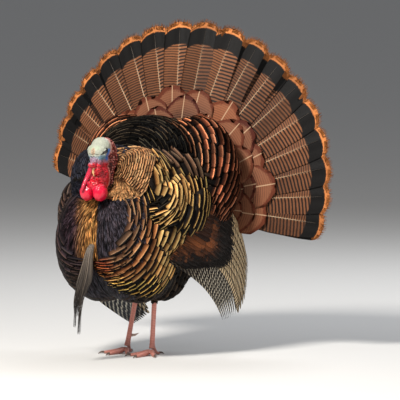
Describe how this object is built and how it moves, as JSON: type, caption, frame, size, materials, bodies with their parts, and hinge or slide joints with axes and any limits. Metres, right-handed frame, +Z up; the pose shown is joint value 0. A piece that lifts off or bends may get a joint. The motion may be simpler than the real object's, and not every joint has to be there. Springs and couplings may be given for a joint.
{
  "type": "wild turkey figure",
  "caption": "Life-size still model of a displaying male wild turkey, with raised fanned tail, puffed coat and drooped wings, standing on both feet.",
  "frame": {"origin": "the middle of the bounding box on the floor, between the feet", "axes": "the bird faces -Y, +X is its left side, +Z is up"},
  "size_m": [0.78, 0.5282, 0.7985],
  "materials": {
    "coat": "dark glossy feathers with bronze bars",
    "tail": "rust brown feathers, finely barred, black band and rusty tips",
    "flight": "flight feathers barred dark and pale",
    "crown": "bare white to blue skin",
    "wattle": "bare scarlet skin, moist and lumpy",
    "skin": "bare pink-red pebbled skin",
    "leg": "scaled pink-red skin",
    "horn": "smooth horn",
    "eye": "wet dark brown",
    "beard": "coarse dark bristles"
  },
  "bodies": {
    "root": {"back": "coat", "beard": "beard", "belly": "coat", "bill_lower": "horn", "bill_upper": "horn", "breast": "coat", "caruncle_left": "wattle", "caruncle_right": "wattle", "claw_hind_left": "horn", "claw_hind_right": "horn", "claw_inner_left": "horn", "claw_inner_right": "horn", "claw_middle_left": "horn", "claw_middle_right": "horn", "claw_outer_left": "horn", "claw_outer_right": "horn", "eye_left": "eye", "eye_right": "eye", "head": "crown", "neck": "skin", "neck_ruff": "coat", "shank_left": "leg", "shank_right": "leg", "snood": "wattle", "spur_left": "horn", "spur_right": "horn", "tail_coverts_under": "tail", "tail_coverts_upper": "tail", "tail_fan": "tail", "toe_hind_left": "leg", "toe_hind_right": "leg", "toe_inner_left": "leg", "toe_inner_right": "leg", "toe_middle_left": "leg", "toe_middle_right": "leg", "toe_outer_left": "leg", "toe_outer_right": "leg", "vent": "coat", "wattle_throat": "wattle", "wing_coverts_left": "coat", "wing_coverts_right": "coat", "wing_primaries_left": "flight", "wing_primaries_right": "flight", "wing_secondaries_left": "flight", "wing_secondaries_right": "flight"}
  },
  "joints": []
}
